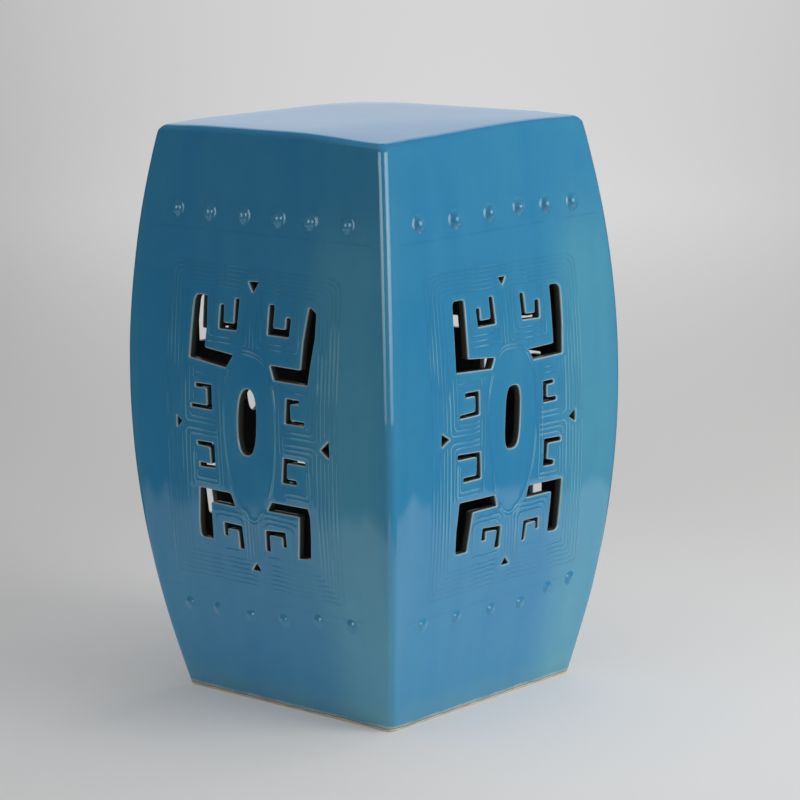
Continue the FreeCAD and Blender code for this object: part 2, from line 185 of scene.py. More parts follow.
def sheet_of_paper():
    """Paper whose brightness to the camera is painted: pale far off, lighter to the right, darker toward
    the sides. It throws painted bounce light up beside the stool and is mirrored dimly beyond it, a painted
    reflection.
    """
    material, tree = node_material("pale_paper")
    seen, thrown, mirrored = rays(tree, "Camera", "Diffuse", "Glossy")
    place = field(tree, "ShaderNodeTexCoord", "Object")
    across, along, _ = axes_of(tree, place)
    reach = (across * across + along * along).math("POWER", 0.5)
    square = across.math("ABSOLUTE").math("MAXIMUM", along.math("ABSOLUTE"))

    ripple = field(tree, "ShaderNodeTexNoise", 0, {"Vector": place, "Scale": 3.2, "Detail": 1.5})
    ragged = square + (ripple - 0.5) * 0.20
    # Painted reflection: beyond a ragged square, the paper that the glaze mirrors is darkened.
    painted_dimming = 1 - ragged.eased(*MIRRORED_PAPER) * mirrored * 0.94
    black = new_node(tree, "ShaderNodeBsdfDiffuse", {"Color": (0, 0, 0, 1)})
    paper = new_node(tree, "ShaderNodeBsdfDiffuse", {"Color": PAPER_COLOUR})
    dimmed = new_node(tree, "ShaderNodeMixShader", {0: painted_dimming, 1: black.outputs[0], 2: paper.outputs[0]})

    # Painted light for camera rays: the paper grows brighter far off, lighter to the right of the view and
    # darker toward both sides.
    sideways = across * math.cos(VIEW_TURN) + along * math.sin(VIEW_TURN)
    bearing = sideways / (reach + 1.0)
    far = reach.eased(0.3, 3.4)
    vignette = (bearing * bearing).math("MINIMUM", 0.05) * 5.0
    lift = 0.13 - reach.eased(0.25, 0.75) * 0.055 + bearing * 0.05
    lift = lift + far * (0.39 + bearing * 0.35 - vignette)
    # Painted bounce light: outside the stool's footprint, the paper glows for diffuse rays.
    painted_bounce = square.eased(*STOOL_SHADE) * (1 - reach.eased(0.35, 0.80)) * 0.29
    strength = seen * lift + thrown * painted_bounce + mirrored * painted_dimming * 0.07
    glow = new_node(tree, "ShaderNodeEmission", {"Color": (1, 1, 1, 1), "Strength": strength})
    total = new_node(tree, "ShaderNodeAddShader", {0: dimmed.outputs[0], 1: glow.outputs[0]})
    new_node(tree, "ShaderNodeOutputMaterial", {0: total.outputs[0]})
    return material


floor_mesh = bpy.data.meshes.new("floor")
floor_shape = bmesh.new()
bmesh.ops.create_circle(floor_shape, cap_ends=True, segments=96, radius=PAPER_RADIUS)
floor_shape.to_mesh(floor_mesh)
floor_shape.free()
floor_mesh.materials.append(sheet_of_paper())
floor = placed("floor", floor_mesh)
floor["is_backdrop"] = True


def soft_light(name, turn, rise, distance, size, radiance, spread=None, colour=(1, 1, 1)):
    """A lit panel that faces the stool from a compass turn and a rise in degrees.

    A panel with a spread is a card: it shows only mirrored in the glaze and fades toward its edges.
    """
    data = bpy.data.lights.new(name, "AREA")
    data.shape = "RECTANGLE"
    data.size, data.size_y = size
    data.color = colour
    data.energy = radiance * size[0] * size[1] * math.pi
    panel = placed(name, data)
    panel.matrix_world = facing_stool(math.radians(turn), math.radians(rise), distance)
    panel.visible_camera = False
    panel.visible_glossy = spread is not None
    panel.visible_diffuse = spread is None
    if spread:
        data.spread = math.radians(spread)
        half = data.spread / 2
        data.energy *= (math.tan(half) - half) / math.tan(half)


soft_light("right_softbox", 104, 27, 2.0, (1.2, 1.5), 3.7)
soft_light("front_softbox", -25, 62, 2.2, (1.6, 1.6), 0.42)
soft_light("back_softbox", 170, 64, 2.2, (1.8, 1.4), 1.4)
soft_light("right_card", 79, 16, 1.35, (1.0, 1.3), 4.6, CARD_SPREAD, (0.90, 1.0, 0.99))
soft_light("front_card", 8, 17, 1.35, (0.75, 1.35), 3.8, CARD_SPREAD, (0.88, 1.0, 0.96))
soft_light("seat_card", 222, 20.6, 5.3, (3.6, 4.0), 0.57, SEAT_CARD_SPREAD, (0.90, 1.02, 1.21))

world = bpy.data.worlds.new("studio")
scene.world = world
world.use_nodes = True
room = world.node_tree
room.nodes.clear()
room_seen, room_mirrored = rays(room, "Camera", "Glossy")
room_light = 0.28 + room_seen * 0.30 - room_mirrored * 0.225
room_glow = new_node(room, "ShaderNodeBackground", {"Color": (0.97, 0.98, 1, 1), "Strength": room_light})
new_node(room, "ShaderNodeOutputWorld", {0: room_glow.outputs[0]})

scene.view_settings.view_transform = "Standard"

# Glaze: a thick turquoise glaze over pale stoneware. It runs thin and pale over every ridge and cut edge,
# pools darker beside them, and breaks greener where it is thin; on the ridge crests and hole edges the pale
# is partly a painted highlight. A lighter, greener strip beside each upright corner is a painted reflection,
# the cut faces and the inside are painted dark as shade, and a thin dark line where the glaze ends above the
# foot is painted shadow. Its surface is wet and a little uneven.

BODY_BLUE = (0.036, 0.254, 0.480, 1)
POOL_BLUE = (0.016, 0.165, 0.350, 1)
THIN_GREEN = (0.115, 0.385, 0.505, 1)
# Ridge crests: partly thin glaze, partly a painted highlight.
CREST_BLUE = (0.190, 0.500, 0.660, 1)
# Pale colour where the glaze runs thin; on the hole edges it is partly a painted highlight.
CLAY_CREAM = (0.55, 0.64, 0.61, 1)
DRY_CLAY = (0.84, 0.75, 0.59, 1)
# Painted shadow: a thin dark line under the glaze's rolled edge above the foot.
GLAZE_ROLL_SHADOW = (0.10, 0.085, 0.06, 1)
# Painted shade: the cut faces dark brown and the inside of the walls near black, for the unlit inside.
SHADED_CUT_CLAY = (0.062, 0.054, 0.034, 1)
SHADED_INNER_CLAY = (0.028, 0.034, 0.026, 1)
DRY_LINE = 0.0024


def new_group(name, tree_kind, inputs, outputs):
    """Node group; an input is given by its default, or by its kind where it has none."""
    group = bpy.data.node_groups.new(name, tree_kind)
    kinds = {float: "Float", int: "Int"}
    for label, value in inputs.items():
        kind = value if isinstance(value, str) else kinds[type(value)]
        socket = group.interface.new_socket(name=label, in_out="INPUT", socket_type="NodeSocket" + kind)
        if value != kind:
            socket.default_value = value
    for label, kind in outputs.items():
        group.interface.new_socket(name=label, in_out="OUTPUT", socket_type="NodeSocket" + kind)
    way_in = group.nodes.new("NodeGroupInput")

    def given(label):
        return Term(group, way_in.outputs[label])

    return group, given, group.nodes.new("NodeGroupOutput")


def mixed(tree, share, first, second):
    return field(tree, "ShaderNodeMix", 2, {0: share, 6: first, 7: second}, data_type="RGBA")


def cloud(tree, place, scale, detail=2.0, rough=0.5):
    """Soft noise between 0 and 1."""
    inputs = {"Vector": place, "Scale": scale, "Detail": detail, "Roughness": rough}
    return field(tree, "ShaderNodeTexNoise", 0, inputs)


def glaze_group():
    """Colour, roughness and unevenness of the glaze at a point of the stool."""
    group, given, way_out = new_group(
        "glaze_flow",
        "ShaderNodeTree",
        {"Thinness": 0.0, "Pooling": 0.0, "Painted Reflection": 0.0},
        {"Colour": "Color", "Roughness": "Float", "Waviness": "Float"},
    )
    place = field(group, "ShaderNodeTexCoord", "Object")
    _, _, up = axes_of(group, place)
    drift = cloud(group, place, 9.0, 3.0)
    fine = cloud(group, place, 60.0, 3.0, 0.6)
    drawn_out = field(group, "ShaderNodeMapping", 0, {"Vector": place, "Scale": (38, 38, 3.2)})
    streaks = cloud(group, drawn_out, 1.0, 3.0)

    thin = given("Thinness")
    low = 1 - up.eased(0.004, 0.030)
    # The second term is a painted reflection: a lighter, greener strip beside each upright corner.
    green = 0.08 + given("Painted Reflection") * 0.62 + low * 0.40
    green = green + (drift - 0.5) * 0.42 + (streaks - 0.5) * 0.38 + thin * 0.4
    green = green.math("MAXIMUM", 0.0).math("MINIMUM", 1.0)
    body = mixed(group, green, BODY_BLUE, THIN_GREEN)
    deep = mixed(group, given("Pooling") * 0.30, body, POOL_BLUE)
    freckle = (fine - 0.5) * 0.10 + 1.0
    toned = field(group, "ShaderNodeVectorMath", 0, {0: deep, "Scale": freckle}, operation="SCALE")
    thin = thin + (1 - up.eased(0.0025, 0.0095)) * (0.45 + fine * 0.75)
    # Thin glaze shows pale; on the hole edges the pale is partly a painted highlight.
    pale = mixed(group, thin.eased(0.50, 0.95) * 0.9, toned, CLAY_CREAM)

    line = DRY_LINE + (cloud(group, place, 55.0) - 0.5) * 0.0026
    dry = up.math("LESS_THAN", line)
    # Painted shadow: a thin dark line where the glaze's rolled edge meets the bare foot.
    roll_shadow = (up - line).math("ABSOLUTE").eased(0.0, 0.0006)
    footed = mixed(group, roll_shadow, GLAZE_ROLL_SHADOW, mixed(group, dry, pale, DRY_CLAY))
    waves = cloud(group, place, 14.0, 1.5) * 0.55 + cloud(group, place, 130.0) * 0.03
    plug(group, footed, way_out.inputs["Colour"])
    plug(group, dry * 0.6 + fine * 0.03 + 0.035, way_out.inputs["Roughness"])
    plug(group, waves, way_out.inputs["Waviness"])
    return group


glaze_flow = glaze_group()


def glaze_material(name):
    """Glaze that follows the values that a mesh carries; one that it doesn't carry counts as 0."""
    material, tree = node_material(name)
    raised, thin, pooled, sheltered, hollow = (
        field(tree, "ShaderNodeAttribute", "Fac", attribute_name=layer)
        for layer in ("ridge", "thin", "pooled", "sheltered", "hollow")
    )
    beside_ridge = raised.eased(0.0, 0.35) * (1 - raised.eased(0.35, 0.8))
    thinness = (raised * 0.66).math("MAXIMUM", thin)
    inputs = {"Thinness": thinness, "Pooling": pooled + beside_ridge, "Painted Reflection": sheltered}
    flow = new_node(tree, "ShaderNodeGroup", inputs, node_tree=glaze_flow)
    # Ridge crests are painted paler: partly thin glaze, partly a painted highlight.
    colour = mixed(tree, raised.eased(0.40, 0.95) * 0.44, flow.outputs["Colour"], CREST_BLUE)
    # Painted shade: the cut faces turn dark brown and the inner side near black.
    colour = mixed(tree, hollow.eased(0.0, 0.5), colour, SHADED_CUT_CLAY)
    colour = mixed(tree, hollow.eased(0.5, 1.0), colour, SHADED_INNER_CLAY)
    roughness = Term(tree, flow.outputs["Roughness"]) + hollow.eased(0.0, 0.4) * 0.5
    waves = {"Strength": 0.35, "Distance": 0.0016, "Height": flow.outputs["Waviness"]}
    shader = new_node(tree, "ShaderNodeBsdfPrincipled", {
        "Base Color": colour,
        "Roughness": roughness,
        "Normal": field(tree, "ShaderNodeBump", 0, waves),
        "IOR": 1.52,
        "Coat Weight": 0.35,
        "Coat Roughness": 0.03,
        "Coat IOR": 1.5,
    })
    new_node(tree, "ShaderNodeOutputMaterial", {0: shader.outputs[0]})
    return material


glaze = glaze_material("turquoise_glaze")

# Pierced walls: four press-moulded stoneware slabs, bowed like a barrel and luted at the corners. The fret
# is cut through with a knife, and thin ridges follow it. Sizes are in millimetres on the flat face, across
# and up. A hole's corner may have a third number, its rounding.

BELLY_HALF = 141.5
BELLY_LEVEL = 250.0
FOOT_HALF = 111.0
WALL = 9.0
CORNER = 7.5
WALL_TOP = 447.0
ARRIS = 1.4
ARRIS_RINGS = [
    (ARRIS * (1 - math.sin(turn)), ARRIS * (1 - math.cos(turn)))
    for turn in (0, math.pi / 6, math.pi / 3, math.pi / 2)
]
FOOT_ROUND = {0.0: 1.5, 0.2: 0.75, 0.75: 0.2, 1.5: 0.0}
FACE_ROWS = 110
LEVELS = [*FOOT_ROUND] + [1.5 + (WALL_TOP - 1.5) * step / FACE_ROWS for step in range(1, FACE_ROWS + 1)]
FACE_STEPS = 28
CORNER_STEPS = 5
INNER_ROWS = 40
INNER_STEPS = 12
CUT_DEPTHS = (2.4, 4.2, 6.4)
BOW = BELLY_HALF - FOOT_HALF
BOW_RADIUS = BOW / 2 + BELLY_LEVEL ** 2 / (2 * BOW)
BOW_CENTRE = BELLY_HALF - BOW_RADIUS
HOLE_STEP = 3.5
RIDGE_STEP = 3.0
RIDGE_HALF_WIDTH = 1.5
RIDGE_TILT = -0.012
BARE_RIM = 3.2
INNER_CORNER_ROUND = 1.9
BAND_LEVELS = (381.0, 89.0)
# Painted reflection: a lighter, greener strip of glaze beside each upright corner, fading toward the top.
GREEN_STRIP = 104.0
GREEN_STRIP_FADE = (10.0, 66.0)
GREEN_CORNER_FADE = 16.0
GREEN_CORNER = 0.30
GREEN_TOP_FADE = (330.0, 430.0)

front_holes = [
    [(-70, 279.5, 1), (-30.5, 275, 0.8), (-22.5, 285.5, 0.8), (-53.5, 288.5), (-51, 308, 8),
     (-51, 329.5, 1.5), (-64.5, 330, 9), (-67.5, 303, 9)],
    [(21.5, 270.5, 1), (56.5, 270, 1), (60, 288, 9), (64, 307, 10), (65, 326, 3), (57.5, 330.5, 2),
     (52, 303, 9), (49.5, 281), (17.5, 281.5, 0.8)],
    [(-69, 134, 4), (-55, 133.5, 1), (-53.5, 164.5), (-27, 164, 1), (-31, 174.5, 3), (-65, 175, 1.2),
     (-68.5, 148, 9)],
    [(37.5, 131, 0.8), (50.5, 132.5, 1), (52.5, 150, 9), (53.5, 166.5, 3), (51.5, 173, 1.5), (13, 173, 1),
     (8, 165.5, 0.8), (42, 165.5), (40, 148, 9)],
    [(-38, 305, 1), (-18.5, 305, 2.5), (-16, 330, 1.6), (-20.5, 330, 1.6), (-21.5, 310), (-33, 310),
     (-32.5, 324, 1.6), (-36.5, 324, 1.6)],
    [(14.5, 305, 1), (37, 305, 1), (39, 320, 2), (34, 320, 1.8), (33.5, 310.5), (20, 310.5), (21.5, 328.5, 2),
     (16, 328.5, 2)],
    [(-69.5, 240, 1), (-46.5, 239.5, 1.2), (-46.5, 259.5, 1.2), (-64.5, 259.5, 1.2), (-64, 256.5, 1),
     (-51.5, 256.5), (-51.5, 242.5), (-69.5, 242.5, 1)],
    [(32.5, 238, 1), (52.5, 238, 1), (52.5, 241, 1), (38, 241), (38, 254), (47.5, 254.5, 1.3),
     (47.5, 257.5, 1.3), (34, 257.5, 1.3)],
    [(-63, 192.5, 1.2), (-46, 193, 1.2), (-45.5, 213, 1.2), (-64.5, 213, 1.2), (-64.5, 210, 1.2),
     (-50.5, 209.5), (-50, 195.5), (-63, 196, 1.2)],
    [(26.5, 190.5, 1), (42, 190.5, 1.4), (41.5, 194, 1.2), (31.5, 194), (32.5, 207), (52, 207, 1),
     (52, 210, 1), (29, 210.5, 1)],
    [(-41.5, 138.5, 1.2), (-38, 138.5, 1.2), (-38, 145), (-26, 145), (-26, 130, 1.2), (-21, 130, 1.8),
     (-21.5, 149, 1.5), (-41.5, 149.5, 1)],
    [(3, 132.5, 1), (7.5, 132, 1), (8, 146), (22, 146), (21.5, 138, 1.2), (25.5, 138, 1.2), (25.5, 150.5, 1),
     (4, 149, 1)],
    [(-7, 344, 0.7), (-2, 336, 0.7), (4, 344.5, 0.7)],
    [(-15, 114, 0.7), (-5, 114, 0.7), (-9.5, 120.5, 0.7)],
    [(68.5, 221.5, 0.7), (77.5, 215.5, 0.7), (77.5, 229.5, 0.7)],
    [(-86, 221.5, 0.7), (-80.5, 227, 0.7), (-86, 231.5, 0.7)],
]
right_holes = [
    [(-62.5, 277.5, 1), (-20.5, 275, 0.8), (-16.5, 283, 0.8), (-48, 286), (-49.5, 332, 2.5), (-63, 332, 4)],
    [(30.5, 275, 0.8), (66.5, 275.5, 1), (67.5, 300, 9), (67, 331, 9), (54, 331, 2), (56, 284.5),
     (25, 284, 0.8)],
    [(-59, 134, 3.5), (-45.5, 134, 1.2), (-41, 165), (-12, 165, 0.8), (-15, 174, 1), (-57.5, 175, 1.5),
     (-59.5, 152, 9)],
    [(54, 132, 2.5), (67, 131, 5), (68.5, 173.5, 1.5), (26.5, 174.5, 1), (24, 165.5, 0.8), (56, 165)],
    [(-34.5, 309, 1), (-13.5, 309, 1), (-15.5, 330.5, 1.6), (-20, 330.5, 1.6), (-19, 313.5), (-31.5, 313.5),
     (-31.5, 323.5, 1.6), (-36, 323.5, 1.6)],
    [(18.5, 308, 1), (40, 307, 1), (40, 321.5, 2), (35, 321.5, 1.8), (34.5, 311.5), (23, 312), (21.5, 329, 2),
     (17, 329, 1.8)],
    [(-59.5, 241.5, 1), (-36, 241.5, 1.2), (-36, 260, 1.2), (-52.5, 260.5, 1.2), (-52.5, 257, 1.2),
     (-40.5, 257), (-40.5, 244.5), (-59, 244, 1)],
    [(42, 239, 1.5), (58.5, 239, 1.2), (58.5, 242, 1.2), (46.5, 242.5), (46.5, 253), (55, 253, 1.2),
     (55, 256, 1.2), (42, 256, 1)],
    [(-54, 191, 1.3), (-33, 191, 1.2), (-34.5, 212, 1.2), (-61.5, 213.5, 1.2), (-61.5, 209.5, 1.4),
     (-38.5, 209), (-38.5, 194), (-54, 194.5, 1.3)],
    [(43.5, 187.5, 2), (57, 187, 1.3), (57, 190.5, 1.3), (48, 192.5), (48.5, 205.5), (65.5, 205, 1.2),
     (64.5, 208.5, 1.3), (44, 209.5, 1)],
    [(-28.5, 139.5, 1.2), (-23.5, 139.5, 1.2), (-24, 146.5), (-10, 145.5), (-12, 131, 1.4), (-6, 130.5, 1.8),
     (-5.5, 148, 1.5), (-28, 149.5, 1.2)],
    [(21.5, 130.5, 1.2), (25, 130.5, 1.2), (26.5, 144), (38, 144), (38.5, 137, 1), (41.5, 137, 1),
     (41.5, 146.5, 1), (22.5, 146.5, 1)],
    [(-7.5, 344, 0.7), (-3, 338, 0.7), (1.5, 344, 0.7)],
    [(-1.5, 114.5, 0.7), (8.5, 114.5, 0.7), (3, 121, 0.7)],
    [(74.5, 223, 0.7), (83, 218, 0.7), (83, 228, 0.7)],
    [(-80.5, 222.5, 0.7), (-71, 227.5, 0.7), (-80.5, 233, 0.7)],
]
front_medallion = [(-33, 250), (-32, 200), (-24, 168), (-8, 152), (8, 166), (20, 200), (22.5, 250), (14, 281),
    (-5, 290.5), (-24, 285)]
right_medallion = [(-26.5, 243), (-21, 200), (-13, 169), (2.5, 154.5), (21, 169), (31.5, 203), (32.5, 255),
    (22, 284.5), (-5, 290.5), (-20, 273)]


def evened(points, step_length, closed=False):
    """The same line with its long runs divided."""
    line = points + points[:1] if closed else points
    result = []
    for start, end in zip(line, line[1:]):
        steps = max(1, math.ceil((end - start).length / step_length))
        result.extend(start.lerp(end, step / steps) for step in range(steps))
    return result if closed else result + line[-1:]


def soft_corner(here, back, ahead, reach, pieces):
    """Curve in place of a corner, from reach before it to reach after it."""
    start = here + back.normalized() * reach
    end = here + ahead.normalized() * reach
    curve = []
    for piece in range(pieces + 1):
        share = piece / pieces
        first = start * (1 - share) + here * share
        second = here * (1 - share) + end * share
        curve.append(first * (1 - share) + second * share)
    return curve


def rounded(corners):
    """Closed outline through the corners, each with its rounding; corners that turn in get a soft one."""
    points = []
    for before, corner, after in zip(corners[-1:] + corners[:-1], corners, corners[1:] + corners[:1]):
        here = Vector(corner[:2])
        back = Vector(before[:2]) - here
        ahead = Vector(after[:2]) - here
        radius = corner[2] if len(corner) > 2 else INNER_CORNER_ROUND
        if back.x * ahead.y - back.y * ahead.x > 0:
            radius = max(radius, ARRIS + 0.5)
        half = back.angle(ahead) / 2
        reach = min(radius / math.tan(half), 0.45 * back.length, 0.45 * ahead.length)
        pieces = max(1, round((math.pi - 2 * half) / math.radians(24)))
        points.extend(soft_corner(here, back, ahead, reach, pieces))
    return evened(points, HOLE_STEP, closed=True)


def oval(centre, half_across, half_up, lean, fullness, steps=44):
    """Grip hole: an ellipse, or fuller than one, that leans a little."""
    points = []
    for step in range(steps):
        angle = math.tau * step / steps
        across = math.copysign(abs(math.cos(angle)) ** fullness, math.cos(angle)) * half_across
        rise = math.copysign(abs(math.sin(angle)) ** fullness, math.sin(angle)) * half_up
        points.append(Vector((centre[0] + across + lean * rise, centre[1] + rise)))
    return points


def lifted(outline, distance):
    """The outline moved outward, with mitred corners."""
    moved = []
    for before, point, after in zip(outline[-1:] + outline[:-1], outline, outline[1:] + outline[:1]):
        into = (point - before).normalized()
        out_of = (after - point).normalized()
        first = Vector((into.y, -into.x))
        second = Vector((out_of.y, -out_of.x))
        moved.append(point + (first + second) * (distance / (1 + first.dot(second))))
    return moved


def bent_line(corners, radius):
    """Open line with rounded corners."""
    points = [Vector(corners[0])]
    for before, here, after in zip(corners, corners[1:], corners[2:]):
        here = Vector(here)
        back = Vector(before) - here
        ahead = Vector(after) - here
        reach = min(radius, 0.48 * back.length, 0.48 * ahead.length)
        points.extend(soft_corner(here, back, ahead, reach, 4))
    points.append(Vector(corners[-1]))
    return evened(points, RIDGE_STEP)


def flowing(points, steps=9):
    """Closed smooth line through the points."""
    line = []
    count = len(points)
    for number in range(count):
        a, b, c, d = (Vector(points[(number + shift) % count]) for shift in (-1, 0, 1, 2))
        for step in range(steps):
            t = step / steps
            bend = (a * 2 - b * 5 + c * 4 - d) * t * t
            line.append((b * 2 + (c - a) * t + bend + (b * 3 - a - c * 3 + d) * t ** 3) / 2)
    return line


def ridge_lines(middle, lean, medallion):
    """Ridges of one wall: nested frames round the fret, nested bends round each hook, and the medallion."""
    groups = []
    for ring in range(6):
        side = 70.6 + 4.0 * ring
        top = 337.5 + 3.35 * ring
        foot = 120.5 - 3.9 * ring
        groups.append([
            (7 + ring, [(0, top), (side, top), (side, 230)]),
            (2 + ring * 0.5, [(0, foot), (side, foot), (side, 219)]),
        ])
    bends = []
    for nest in range(3):
        near, far, cell = 12.9 - 3.7 * nest, 42.0 + 3.7 * nest, 61.8 + 4.2 * nest
        low, high = 302.5 - 4.2 * nest, 154.5 + 3.9 * nest
        above, below = 236.5 - 4 * nest, 214.5 + 4 * nest
        bends += [
            (3, [(near, 335), (near, low), (far, low), (far, 334)]),
            (5, [(near, 122), (near, high), (far, high), (far, 127)]),
            (4, [(36, above), (cell, above), (cell, 273)]),
            (4, [(36, below), (cell, below), (cell, 178)]),
        ]
    bends += [
        (1, [(1.8, 336), (1.8, 293)]),
        (1, [(1.8, 122), (1.8, 152)]),
        (3, [(38, 183), (59.5, 183), (59.5, 203)]),
        (3, [(38, 179.3), (63, 179.3), (63, 203)]),
        (3, [(38, 263.5), (60, 263.5)]),
        (3, [(38, 268), (60, 268)]),
        (3, [(14, 127.2), (43, 127.2)]),
    ]
    groups.append(bends)

    def leaning(point):
        return Vector((middle + lean * point.y + point.x, point.y + RIDGE_TILT * point.x))

    lines = []
    for group in groups:
        for mirror in (1, -1):
            for radius, corners in group:
                bend = bent_line([(mirror * across, level) for across, level in corners], radius)
                lines.append([leaning(point) for point in bend])
    rim = flowing(medallion)
    heart = sum(rim, Vector((0, 0))) / len(rim)
    for scale in (1.0, 0.955):
        lines.append([heart + (point - heart) * scale for point in rim + rim[:1]])
    for gap in (3.6, 7.2):
        for side in (min(point.x for point in rim) - gap, max(point.x for point in rim) + gap):
            lines.append(evened([Vector((side, 182)), Vector((side, 270))], 3))
    for level, reach in zip(BAND_LEVELS, (118, 108)):
        lines.append(evened([Vector((-reach, level)), Vector((reach, level))], 4))
    return lines


def distance_to(lines, closed=False):
    """Function that gives how far a place lies from the lines."""
    points = [point for line in lines for point in evened(line, 1.0, closed)]
    finder = kdtree.KDTree(len(points))
    for number, point in enumerate(points):
        finder.insert((point.x, point.y, 0), number)
    finder.balance()

    def distance(across, up):
        return finder.find((across, up, 0))[2]

    return distance


def clear_runs(lines, from_holes):
    """The parts of the lines that stay clear of every hole."""
    runs = []
    for line in lines:
        for clear, run in groupby(line, lambda point: from_holes(*point) > BARE_RIM):
            runs.append(list(run) if clear else [])
    return [run for run in runs if len(run) > 2]


def half_width(level, inset=0.0):
    return BOW_CENTRE + math.sqrt((BOW_RADIUS - inset) ** 2 - (level - BELLY_LEVEL) ** 2)


def across_face(level):
    """Places across the face at one level, measured round the corners as far as the mitres."""
    straight = half_width(level) - CORNER
    turn = [straight + CORNER * math.pi / 4 * step / CORNER_STEPS for step in range(1, CORNER_STEPS + 1)]
    even = [straight * (step / FACE_STEPS - 1) for step in range(2 * FACE_STEPS + 1)]
    return [-place for place in reversed(turn)] + even + turn


def across_inner_face(level):
    places = across_face(level)
    return [place * half_width(level, WALL) / places[-1] for place in places]


def perimeter(width_at):
    """Edge of the face, anticlockwise from the lower left corner."""
    bottom = [(place, 0.0) for place in width_at(0.0)]
    top = [(place, WALL_TOP) for place in reversed(width_at(WALL_TOP))]
    up = [(width_at(level)[-1], level) for level in LEVELS[1:-1]]
    down = [(width_at(level)[0], level) for level in reversed(LEVELS[1:-1])]
    return [Vector(place) for place in bottom + up + top + down]


def inside(points, outline):
    """Which of the points lie inside a closed outline."""
    result = np.zeros(len(points), bool)
    for start, end in zip(outline, outline[1:] + outline[:1]):
        crosses = (start.y > points[:, 1]) != (end.y > points[:, 1])
        rise = (end.y - start.y) or 1e-12
        meet = (end.x - start.x) * (points[:, 1] - start.y) / rise + start.x
        result ^= crosses & (points[:, 0] < meet)
    return result


def filled(loops, lines, spots, holes):
    """Triangles inside the first loop and outside the holes, which keep to the loops, lines and spots.

    Returns the places, the faces, the numbers given for each place, and the place of each number.
    """
    given, edges = [], []
    for loop in loops:
        first = len(given)
        given.extend(loop)
        edges.extend((first + step, first + (step + 1) % len(loop)) for step in range(len(loop)))
    for line in lines:
        first = len(given)
        given.extend(line)
        edges.extend((first + step, first + step + 1) for step in range(len(line) - 1))
    given.extend(spots)
    vertices, _, faces, sources, _, _ = geometry.delaunay_2d_cdt(given, edges, [], 0, 1e-5)
    flat = np.array([(point.x, point.y) for point in vertices])
    faces = np.array(faces)
    middles = flat[faces].mean(1)
    kept = inside(middles, loops[0])
    for hole in holes:
        kept &= ~inside(middles, hole)
    found = {source: number for number, listed in enumerate(sources) for source in listed}
    return flat, faces[kept], sources, found


def ribbons_along(runs):
    """Rows of points along each run, so that the mesh can rise to a ridge and fall again."""
    ribbons = []
    for run in runs:
        sides = []
        for before, after in zip(run[:1] + run[:-1], run[1:] + run[-1:]):
            along = (after - before).normalized()
            sides.append(Vector((along.y, -along.x)))
        for share in (-1, -0.5, 0, 0.5, 1):
            ribbons.append([point + side * (share * RIDGE_HALF_WIDTH) for point, side in zip(run, sides)])
    return ribbons


def band(first, second):
    """Quads between two closed rows of vertices."""
    return list(zip(first, first[1:] + first[:1], second[1:] + second[:1], second))


def store(mesh, name, values, kind="FLOAT", domain="POINT"):
    mesh.attributes.new(name, kind, domain).data.foreach_set("value", values)


